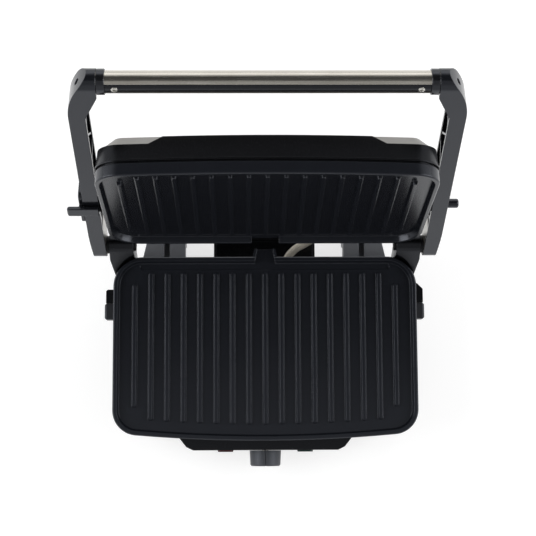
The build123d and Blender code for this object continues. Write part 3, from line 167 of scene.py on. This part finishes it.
def brushed(name, dark, light, along, line_mm, line_length_mm, rise_mm, rough, rough_spread):
    """A metal rubbed one way: noise drawn out along the rubbing shows as fine lines in tone,
    gloss and height. The number along is the axis it was rubbed along, 0 to 2 for X to Z."""
    material, tree, point = new_material(name)
    stretch = [1 / line_mm] * 3
    stretch[along] = 1 / line_length_mm
    drawn = add(tree, "ShaderNodeMapping", Vector=point, Scale=stretch)
    lines = add(tree, "ShaderNodeTexNoise", n0=drawn.outputs[0], Scale=1.0, Detail=3)
    clouds = add(tree, "ShaderNodeTexNoise", n0=point, Scale=1 / CLOUD_MM, Detail=3)
    both = add(tree, "ShaderNodeMath", {"operation": "MULTIPLY_ADD"}, n0=clouds.outputs["Fac"],
               n1=CLOUD_SHARE, n2=lines.outputs["Fac"])
    level = add(tree, "ShaderNodeMapRange", Value=both.outputs[0], From_Min=RUB_LOW, From_Max=RUB_HIGH,
                To_Min=0, To_Max=1)
    tone = add(tree, "ShaderNodeMix", {"data_type": "RGBA"}, n0=level.outputs[0],
               n6=linear(dark), n7=linear(light))
    gloss = add(tree, "ShaderNodeMapRange", Value=lines.outputs["Fac"], From_Min=NOISE_LOW,
                From_Max=NOISE_HIGH, To_Min=rough - rough_spread, To_Max=rough + rough_spread)
    eased = add(tree, "ShaderNodeBevel", {"samples": BEVEL_SAMPLES}, Radius=RUB_EDGE_MM * MM)
    bump = add(tree, "ShaderNodeBump", Height=lines.outputs["Fac"], Distance=rise_mm * MM,
               Strength=1.0, Normal=eased.outputs[0])
    shader = add(tree, "ShaderNodeBsdfPrincipled", Base_Color=tone.outputs[2], Metallic=1.0,
                 Roughness=gloss.outputs[0], Normal=bump.outputs[0])
    add(tree, "ShaderNodeOutputMaterial", Surface=shader.outputs[0])
    return material


# Lamp windows: slow swirls in the dye, and a surface that is not quite flat.
SWIRL_MM = 6.0
SWIRL_RISE_MM = 0.05
LENS_SMOOTHEST = 0.08
LENS_ROUGHEST = 0.16


def lens(name, deep, bright):
    """A dyed acrylic window, unlit: two dark tones of the dye in slow swirls, with a smooth shine."""
    material, tree, point = new_material(name)
    swirl = add(tree, "ShaderNodeTexNoise", n0=point, Scale=1 / SWIRL_MM, Detail=2)
    tone = add(tree, "ShaderNodeMix", {"data_type": "RGBA"}, n0=swirl.outputs["Fac"],
               n6=linear(deep), n7=linear(bright))
    shine = add(tree, "ShaderNodeMapRange", Value=swirl.outputs["Fac"], To_Min=LENS_SMOOTHEST,
                To_Max=LENS_ROUGHEST)
    bump = add(tree, "ShaderNodeBump", Height=swirl.outputs["Fac"], Distance=SWIRL_RISE_MM * MM,
               Strength=0.5)
    shader = add(tree, "ShaderNodeBsdfPrincipled", Base_Color=tone.outputs[2],
                 Roughness=shine.outputs[0], Normal=bump.outputs[0], IOR=1.49)
    add(tree, "ShaderNodeOutputMaterial", Surface=shader.outputs[0])
    return material


# Braid: loose fibres on the yarns, and the yarn heights over which dark turns to pale.
FUZZ_MM = 0.5
FUZZ_RISE_MM = 0.15
YARN_GAP = 0.1
YARN_CREST = 0.5
YARN_SMOOTHEST = 0.55
YARN_ROUGHEST = 0.8


def braided(name, dark, light):
    """Woven glass fibre: each yarn pale on its crest and dark in the gaps, from the piece's own
    attribute of yarn height."""
    material, tree, point = new_material(name)
    crest = add(tree, "ShaderNodeAttribute", {"attribute_name": "yarn"})
    fuzz = add(tree, "ShaderNodeTexNoise", n0=point, Scale=1 / FUZZ_MM, Detail=3)
    mixed = add(tree, "ShaderNodeMath", {"operation": "MULTIPLY"}, n0=crest.outputs["Fac"],
                n1=fuzz.outputs["Fac"])
    shade = add(tree, "ShaderNodeMapRange", Value=mixed.outputs[0], From_Min=YARN_GAP, From_Max=YARN_CREST,
                To_Min=0, To_Max=1)
    tone = add(tree, "ShaderNodeMix", {"data_type": "RGBA"}, n0=shade.outputs[0],
               n6=linear(dark), n7=linear(light))
    gloss = add(tree, "ShaderNodeMapRange", Value=fuzz.outputs["Fac"], To_Min=YARN_SMOOTHEST,
                To_Max=YARN_ROUGHEST)
    bump = add(tree, "ShaderNodeBump", Height=fuzz.outputs["Fac"], Distance=FUZZ_RISE_MM * MM, Strength=0.6)
    shader = add(tree, "ShaderNodeBsdfPrincipled", Base_Color=tone.outputs[2],
                 Roughness=gloss.outputs[0], Normal=bump.outputs[0], Sheen_Weight=0.2)
    add(tree, "ShaderNodeOutputMaterial", Surface=shader.outputs[0])
    return material


# Heat-resistant moulded plastic, spark-eroded mould grain of about 0.2 mm: deep satin black.
# The grain is drawn at 0.6 mm so that it shows.
MOULDED_BLACK = moulded("moulded_black_phenolic", dark="#070708", light="#0B0B0D", grain_mm=0.6,
                        grain_rise_mm=0.004, rough=0.24, rough_spread=0.04, edge_highlight="#242527", edge_mm=0.6,
                        ior=1.44)
# Sprayed fluoropolymer over cast aluminium, a spatter of about 0.4 mm: soft blue-black sheen.
# The spatter is drawn at 0.8 mm so that it shows.
COATED_CAST = moulded("nonstick_coated_cast_aluminium", dark="#14161B", light="#191B20", grain_mm=0.8,
                      grain_rise_mm=0.002, rough=0.22, rough_spread=0.03, edge_highlight="#2C2D33", edge_mm=0.7,
                      ior=1.5)
# Dark glass-filled nylon, moulded satin: dark from above, grey where it mirrors the pale table.
SATIN_GREY = moulded("moulded_dark_grey_nylon", dark="#101115", light="#15161A", grain_mm=0.6,
                     grain_rise_mm=0.002, rough=0.18, rough_spread=0.03, edge_highlight="#4A4B50", edge_mm=0.7,
                     ior=1.55)
# The knob: a paler grey with a matt eroded grain.
MATT_GREY = moulded("matt_grey_moulded_nylon", dark="#35373B", light="#3F4145", grain_mm=0.7,
                    grain_rise_mm=0.012, rough=0.46, rough_spread=0.05, edge_highlight="#707176", edge_mm=0.6,
                    ior=1.5)
# The rear legs: the palest of the moulded greys, as matt as the knob.
LEG_GREY = moulded("pale_grey_moulded_nylon", dark="#66686C", light="#707276", grain_mm=0.7,
                   grain_rise_mm=0.012, rough=0.46, rough_spread=0.05, edge_highlight="#85868A", edge_mm=0.6,
                   ior=1.5)
# The side buttons: a rougher eroded grain than the housing, so that a finger does not slip.
BUTTON_BLACK = moulded("textured_black_nylon", dark="#1B1B1D", light="#232325", grain_mm=0.7,
                       grain_rise_mm=0.008, rough=0.45, rough_spread=0.05, edge_highlight="#3E3E40", edge_mm=0.6,
                       ior=1.5)
# The handle's collars: the one polished moulding, so that they carry a sharp light.
POLISHED_BLACK = moulded("polished_black_phenolic", dark="#0E0E10", light="#131315", grain_mm=0.6,
                         grain_rise_mm=0.001, rough=0.14, rough_spread=0.03, edge_highlight="#303134",
                         edge_mm=0.6, ior=1.6)
# Soft feet and grommets: dull rubber, with a painted highlight that makes the edges paler.
RUBBER = moulded("moulded_black_rubber", dark="#131313", light="#1B1B1B", grain_mm=0.9,
                 grain_rise_mm=0.02, rough=0.72, rough_spread=0.08, edge_highlight="#2E2E2E", edge_mm=0.7,
                 ior=1.5)
# Stainless strip rubbed along its length, lines of about 0.05 mm drawn at 0.5 mm so that they show.
BRUSHED_STEEL = brushed("brushed_stainless_steel", dark="#BDB8AE", light="#D8D4CB", along=0,
                        line_mm=0.5, line_length_mm=40.0, rise_mm=0.004, rough=0.24, rough_spread=0.05)
# The lid's pressed cover: a coarser rub, so that it is softer and greyer than the handle.
LID_STEEL = brushed("pressed_brushed_stainless_steel", dark="#787672", light="#8E8C89", along=0,
                    line_mm=0.6, line_length_mm=50.0, rise_mm=0.006, rough=0.36, rough_spread=0.06)
# The hinge sheets in the arms: the same steel, rubbed upright.
HINGE_STEEL = brushed("brushed_stainless_hinge_sheet", dark="#A9A7A2", light="#C6C4BF", along=2,
                      line_mm=0.5, line_length_mm=30.0, rise_mm=0.004, rough=0.34, rough_spread=0.06)
# Nickel-plated turned pieces: bright, with faint turning lines.
PLATED_STEEL = brushed("nickel_plated_steel", dark="#B4B2AC", light="#DAD8D2", along=2, line_mm=0.6,
                       line_length_mm=6.0, rise_mm=0.003, rough=0.22, rough_spread=0.05)
# Hinge pins and washers: oiled black oxide over steel, a dull dark metal.
BLACKENED_STEEL = brushed("black_oxide_steel", dark="#1E1E1F", light="#343436", along=2, line_mm=0.6,
                          line_length_mm=5.0, rise_mm=0.004, rough=0.42, rough_spread=0.06)
# Rolled aluminium sheet: pale and soft, with long rolling lines.
ROLLED_SHEET = brushed("rolled_aluminium_sheet", dark="#A5A6A7", light="#C4C5C6", along=0, line_mm=0.8,
                       line_length_mm=60.0, rise_mm=0.004, rough=0.38, rough_spread=0.06)
# Unlit lamp windows: nearly black, with a hint of the dye and a sharp shine.
RED_LENS = lens("dyed_red_acrylic", deep="#2A0508", bright="#5A0A10")
GREEN_LENS = lens("dyed_green_acrylic", deep="#04201C", bright="#0A3A32")
# Pale glass yarn with shadowed gaps.
GLASS_BRAID = braided("woven_glass_fibre_braid", dark="#625D53", light="#F0E8D8")

# The finish of each slot.
FINISHES = {
    "housing_black": MOULDED_BLACK,
    "plate_coating": COATED_CAST,
    "arm_grey": SATIN_GREY,
    "control_grey": MATT_GREY,
    "steel": BRUSHED_STEEL,
    "bright_steel": PLATED_STEEL,
    "reflector_sheet": ROLLED_SHEET,
    "lamp_red": RED_LENS,
    "lamp_green": GREEN_LENS,
    "rubber_black": RUBBER,
    "sleeve_braid": GLASS_BRAID,
}

# Pieces that look different from the rest of their slot.
OWN_FINISHES = {
    "rear_leg_left": LEG_GREY,
    "rear_leg_right": LEG_GREY,
    "release_button_left": BUTTON_BLACK,
    "release_button_right": BUTTON_BLACK,
    "handle_collars": POLISHED_BLACK,
    "hinge_pin_left": BLACKENED_STEEL,
    "hinge_pin_right": BLACKENED_STEEL,
    "hinge_washers": BLACKENED_STEEL,
    "lid_top_cover": LID_STEEL,
    "hinge_sheet_left": HINGE_STEEL,
    "hinge_sheet_right": HINGE_STEEL,
}


def dress(name, node):
    """Gives a carried-over piece its own finish, or else the finish of its slot."""
    for slot in node.material_slots:
        slot.material = OWN_FINISHES.get(name) or FINISHES[slot.material.name.split(".")[0]]


# Edges that turn by less than this many degrees are shaded smooth.
SHARP_DEGREES = 34.0


def shading_by_angle():
    """A small node group that shades every face smooth and keeps the sharp edges sharp."""
    tree = bpy.data.node_groups.new("smooth_by_angle", "GeometryNodeTree")
    tree.interface.new_socket("Geometry", in_out="INPUT", socket_type="NodeSocketGeometry")
    tree.interface.new_socket("Geometry", in_out="OUTPUT", socket_type="NodeSocketGeometry")
    start = add(tree, "NodeGroupInput").outputs[0]
    angle = add(tree, "GeometryNodeInputMeshEdgeAngle").outputs[0]
    below = add(tree, "FunctionNodeCompare", {"operation": "LESS_THAN"}, n0=angle,
                n1=math.radians(SHARP_DEGREES)).outputs[0]
    faces = add(tree, "GeometryNodeSetShadeSmooth", {"domain": "FACE"}, Geometry=start, Shade_Smooth=True)
    edges = add(tree, "GeometryNodeSetShadeSmooth", {"domain": "EDGE"}, Geometry=faces.outputs[0],
                Shade_Smooth=below)
    add(tree, "NodeGroupOutput", n0=edges.outputs[0])
    return tree


SMOOTH_BY_ANGLE = shading_by_angle()

# Points closer than the weld are one, and faces that turn less than the flat are one.
WELD_MM = 0.002
FLAT_DEGREES = 0.3
EASE_SEGMENTS = 3


def soften(node, width_mm):
    """Rounds a carried-over piece's sharp edges by width_mm, as a mould or a polish leaves them."""
    weld = node.modifiers.new("weld", "WELD")
    weld.merge_threshold = WELD_MM * MM
    flats = node.modifiers.new("flats", "DECIMATE")
    flats.decimate_type = "DISSOLVE"
    flats.angle_limit = math.radians(FLAT_DEGREES)
    if width_mm:
        ease = node.modifiers.new("ease", "BEVEL")
        ease.width = width_mm * MM
        ease.segments = EASE_SEGMENTS
        ease.limit_method = "ANGLE"
        ease.angle_limit = math.radians(SHARP_DEGREES)
    shade = node.modifiers.new("shade", "NODES")
    shade.node_group = SMOOTH_BY_ANGLE
    weigh = node.modifiers.new("weigh", "WEIGHTED_NORMAL")
    weigh.keep_sharp = True


# How far each piece's sharp edges are rounded; pieces that are not named keep theirs.
EDGE_MM = {
    "lower_grill_plate": 0.8,
    "upper_grill_plate": 0.8,
    "base_housing": 0.6,
    "lid_housing": 0.6,
    "lid_top_cover": 0.3,
    "arm_left": 0.9,
    "arm_right": 0.9,
    "handle_collars": 0.5,
    "handle_core": 0.3,
    "hinge_lock_slider": 0.7,
    "lid_guide_right": 0.6,
    "hinge_bracket_left": 0.6,
    "hinge_bracket_right": 0.6,
    "rear_leg_left": 0.8,
    "rear_leg_right": 0.8,
    "release_button_left": 0.5,
    "release_button_right": 0.5,
    "thermostat_knob": 0.4,
    "drip_tray": 0.5,
    "rubber_feet": 0.4,
    "red_lamp": 0.5,
    "green_lamp": 0.5,
}


def grid_faces(rows, columns, start, round_v, caps):
    """Faces over a grid of points whose first index is start, by whole-array indexing; round_v joins
    the last column to the first, and caps closes the first and the last row with one face each."""
    index = start + np.arange(rows * columns).reshape(rows, columns)
    across = np.hstack([index, index[:, :1]]) if round_v else index
    quads = np.stack([across[:-1, :-1], across[:-1, 1:], across[1:, 1:], across[1:, :-1]], -1)
    faces = quads.reshape(-1, 4).tolist()
    if caps:
        faces += [index[0][::-1].tolist(), index[-1].tolist()]
    return faces


def grid_mesh(name, grids, round_v=False, caps=False):
    """One piece from several arrays of points, each (rows, columns, 3), in metres."""
    faces, start = [], 0
    for points in grids:
        faces += grid_faces(*points.shape[:2], start, round_v, caps)
        start += points.shape[0] * points.shape[1]
    mesh = bpy.data.meshes.new(name)
    mesh.from_pydata(np.concatenate([points.reshape(-1, 3) for points in grids]).tolist(), [], faces)
    mesh.polygons.foreach_set("use_smooth", np.ones(len(mesh.polygons), bool))
    mesh.update()
    piece = bpy.data.objects.new(name, mesh)
    scene.collection.objects.link(piece)
    return piece


# The lead sleeve between base and lid, control points of its route.
SLEEVE_ROUTE_MM = ((15, 22.5, 35), (22, 44.5, 36), (45, 55.5, 43), (61.5, 65, 64), (65.5, 72.5, 89.5))
SLEEVE_RADIUS_MM = 3.8
SLEEVE_YARNS = 18
SLEEVE_LAY_MM = 13.0
YARN_RISE_MM = 0.35
SLEEVE_STEP_MM = 0.3
SLEEVE_SIDES = 112
# A yarn's height where it runs free, and how far it goes over and under.
YARN_MEAN = 0.75
YARN_WEAVE = 0.5


def route_line(points_mm):
    """The smooth line with those control points, as an array of points in metres."""
    curve = bpy.data.curves.new("sleeve_line", "CURVE")
    curve.dimensions = "3D"
    curve.resolution_u = 48
    spline = curve.splines.new("NURBS")
    spline.points.add(len(points_mm) - 1)
    for control, place in zip(spline.points, points_mm):
        control.co = (*(Vector(place) * MM), 1)
    spline.order_u = 3
    spline.use_endpoint_u = True
    holder = bpy.data.objects.new("sleeve_line", curve)
    scene.collection.objects.link(holder)
    mesh = bpy.data.meshes.new_from_object(holder)
    line = np.zeros(len(mesh.vertices) * 3)
    mesh.vertices.foreach_get("co", line)
    bpy.data.objects.remove(holder)
    return line.reshape(-1, 3)


def even_steps(line, step):
    """The same line with its points an even step apart, by its running length."""
    run = np.concatenate([[0], np.cumsum(np.linalg.norm(np.diff(line, axis=0), axis=1))])
    at = np.linspace(0, run[-1], int(run[-1] / step) + 1)
    return np.stack([np.interp(at, run, line[:, i]) for i in range(3)], -1), at


def lead_sleeve():
    """A braided tube: at angle a and run s its radius is the sleeve's, less the yarn rise, plus the
    rise times the taller of two yarn sets that wind opposite ways and pass over and under."""
    line, run = even_steps(route_line(SLEEVE_ROUTE_MM), SLEEVE_STEP_MM * MM)
    ahead = np.gradient(line, axis=0)
    ahead /= np.linalg.norm(ahead, axis=1)[:, None]
    across = np.cross(ahead, (1.0, 0.0, 0.0))
    across /= np.linalg.norm(across, axis=1)[:, None]
    third = np.cross(ahead, across)
    angle = np.linspace(0, 2 * np.pi, SLEEVE_SIDES, endpoint=False)
    turns = SLEEVE_YARNS * angle[None, :] / (2 * np.pi)
    climb = SLEEVE_YARNS * run[:, None] / (SLEEVE_LAY_MM * MM)
    one, two = turns + climb, turns - climb
    over = np.cos(np.pi * (one + two)) / 2
    first = np.sqrt(np.abs(np.cos(np.pi * one))) * (YARN_MEAN + YARN_WEAVE * over)
    second = np.sqrt(np.abs(np.cos(np.pi * two))) * (YARN_MEAN - YARN_WEAVE * over)
    crest = np.maximum(first, second)
    radius = (SLEEVE_RADIUS_MM - YARN_RISE_MM + YARN_RISE_MM * crest) * MM
    ring = across[:, None, :] * np.cos(angle)[None, :, None]
    ring = ring + third[:, None, :] * np.sin(angle)[None, :, None]
    points = line[:, None, :] + radius[..., None] * ring
    sleeve = grid_mesh("braided_lead_sleeve", [points], round_v=True, caps=True)
    height = sleeve.data.attributes.new("yarn", "FLOAT", "POINT")
    height.data.foreach_set("value", crest.reshape(-1).astype(np.float32))
    sleeve.data.materials.append(GLASS_BRAID)
    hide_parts("link_sleeve")
    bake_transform(sleeve)


# Cross-recess screws: in the handle's strip and through the arms' ends.
HANDLE_AXIS_MM = (149.67, 283.03)
STRIP_OUT = (0.0, -0.89415, 0.44776)
STRIP_RADIUS_MM = 8.9
STRIP_SCREW_X_MM = 123.8
END_SCREW_X_MM = 148.0
SCREW_RADIUS_MM = 2.75
SCREW_DOME_MM = 0.55
SCREW_DEEP_MM = 1.2
SCREW_RINGS = 40
SCREW_SIDES = 96
# In shares of the head's radius: the recess's half width, reach and the widths of its sloped walls,
# and the small flat in the middle.
CROSS_HALF = 0.15
CROSS_REACH = 0.62
CROSS_SLOPE = 0.07
CROSS_END_SLOPE = 0.10
SCREW_MIDDLE = 0.02
DOME_POWER = 4


def cross_screw(middle_mm, out):
    """A pan head as a grid of rings: over the disc, with r in shares of the head's radius, its height
    is the dome times one less a power of r, less the recess, which is full near two crossed lines and
    slopes out to nothing; then it goes down its side to a flat underside."""
    ring = np.concatenate([np.linspace(SCREW_MIDDLE, 1, SCREW_RINGS), [1, SCREW_MIDDLE]])[:, None]
    angle = np.linspace(0, -2 * np.pi, SCREW_SIDES, endpoint=False)[None, :]
    x, y = ring * np.cos(angle), ring * np.sin(angle)
    near = np.minimum(np.abs(x), np.abs(y))
    recess = np.clip((CROSS_HALF - near) / CROSS_SLOPE, 0, 1)
    recess = recess * np.clip((CROSS_REACH - ring) / CROSS_END_SLOPE, 0, 1)
    height = SCREW_DOME_MM * (1 - ring ** DOME_POWER) - SCREW_DEEP_MM * recess
    height[-2:] = -SCREW_DEEP_MM - SCREW_DOME_MM
    out = Vector(out)
    side = out.cross((0, 0, 1)).normalized()
    up = out.cross(side)
    place = [np.array(axis)[None, None, :] for axis in (side, up, out)]
    radius = SCREW_RADIUS_MM
    disc = radius * x[..., None] * place[0] + radius * y[..., None] * -place[1]
    return (np.array(middle_mm) + disc + height[..., None] * place[2]) * MM


def screws():
    """Sets the four screws of the handle on the places of the plain ones."""
    y, z = HANDLE_AXIS_MM
    strip = [
        cross_screw((x, y + STRIP_RADIUS_MM * STRIP_OUT[1], z + STRIP_RADIUS_MM * STRIP_OUT[2]), STRIP_OUT)
        for x in (-STRIP_SCREW_X_MM, STRIP_SCREW_X_MM)
    ]
    ends = [cross_screw((side * END_SCREW_X_MM, y, z), (side, 0, 0)) for side in (-1, 1)]
    for name, node, heads in (
        ("strip_cross_screws", "handle_strip_screws", strip),
        ("end_cross_screws", "arm_end_screws", ends),
    ):
        piece = grid_mesh(name, heads, round_v=True, caps=True)
        piece.data.materials.append(PLATED_STEEL)
        shade = piece.modifiers.new("shade", "NODES")
        shade.node_group = SMOOTH_BY_ANGLE
        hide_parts(node)
        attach(piece, "arms")


def light_panel(name, place, aim, size, watts):
    """A soft studio panel at place, facing aim."""
    data = bpy.data.lights.new(name, "AREA")
    data.shape = "RECTANGLE"
    data.size, data.size_y = size
    data.energy = watts
    lamp = bpy.data.objects.new(name, data)
    lamp.location = place
    lamp.rotation_euler = (Vector(aim) - Vector(place)).to_track_quat("-Z", "Y").to_euler()
    scene.collection.objects.link(lamp)


# Metres. The floor lies a little under the feet, and its glow makes the background white.
FLOOR_HALF = 12.0
FLOOR_GAP = 0.3 * MM
FLOOR_DIFFUSE = 0.50
FLOOR_GLOW = 0.68
# The surround's strength below one height of the sky and above another; it slopes in between.
SURROUND_LOW = 0.62
SURROUND_HIGH = 0.05
SKY_LOW = 0.58
SKY_HIGH = 0.76
# Each panel's place, the point it faces, its size in metres and its watts.
PANELS = {
    "left_panel": ((-1.5, 0.1, 1.0), (0, 0, 0.1), (1.2, 1.4), 19.0),
    "right_panel": ((1.5, 0.1, 1.0), (0, 0, 0.1), (1.2, 1.4), 16.5),
    "front_top_panel": ((0, -0.68, 1.65), (0, -0.67, 0.0), (1.6, 1.36), 2.2),
    "rear_panel": ((0, 1.8, 0.8), (0, 0.1, 0.2), (1.8, 0.9), 4.0),
}


def studio():
    """A pale table, two large side panels, one above the front and one low behind, and a surround
    that is bright near the horizon and dark overhead."""
    x, y = np.meshgrid((FLOOR_HALF, -FLOOR_HALF), (-FLOOR_HALF, FLOOR_HALF))
    floor = grid_mesh("table", [np.stack([x, y, np.full_like(x, -FLOOR_GAP)], -1)])
    paper = bpy.data.materials.new("white_paper_sweep")
    paper.use_nodes = True
    tree = paper.node_tree
    tree.nodes.clear()
    path = add(tree, "ShaderNodeLightPath")
    seen = add(tree, "ShaderNodeMath", {"operation": "MAXIMUM"}, n0=path.outputs["Is Camera Ray"],
               n1=path.outputs["Is Glossy Ray"])
    seen = add(tree, "ShaderNodeMath", {"operation": "MAXIMUM"}, n0=seen.outputs[0],
               n1=path.outputs["Is Transmission Ray"])
    glow = add(tree, "ShaderNodeMath", {"operation": "MULTIPLY"}, n0=seen.outputs[0], n1=FLOOR_GLOW)
    white = add(tree, "ShaderNodeEmission", Strength=glow.outputs[0], Color=linear("#FFFFFF"))
    lit = add(tree, "ShaderNodeBsdfDiffuse", Color=(FLOOR_DIFFUSE, FLOOR_DIFFUSE, FLOOR_DIFFUSE, 1))
    total = add(tree, "ShaderNodeAddShader", n0=lit.outputs[0], n1=white.outputs[0])
    add(tree, "ShaderNodeOutputMaterial", Surface=total.outputs[0])
    floor.data.materials.append(paper)

    world = bpy.data.worlds.new("studio_surround")
    scene.world = world
    world.use_nodes = True
    tree = world.node_tree
    tree.nodes.clear()
    up = add(tree, "ShaderNodeSeparateXYZ", n0=add(tree, "ShaderNodeTexCoord").outputs["Generated"])
    level = add(tree, "ShaderNodeMapRange", Value=up.outputs["Z"], From_Min=SKY_LOW, From_Max=SKY_HIGH,
                To_Min=SURROUND_LOW, To_Max=SURROUND_HIGH)
    surround = add(tree, "ShaderNodeBackground", Color=linear("#FFFFFF"), Strength=level.outputs[0])
    add(tree, "ShaderNodeOutputWorld", Surface=surround.outputs[0])

    for name, (place, aim, size, watts) in PANELS.items():
        light_panel(name, place, aim, size, watts)


aim_camera()
studio()
for node_name, node in nodes.items():
    dress(node_name, node)
    soften(node, EDGE_MM.get(node_name, 0.0))
lead_sleeve()
screws()
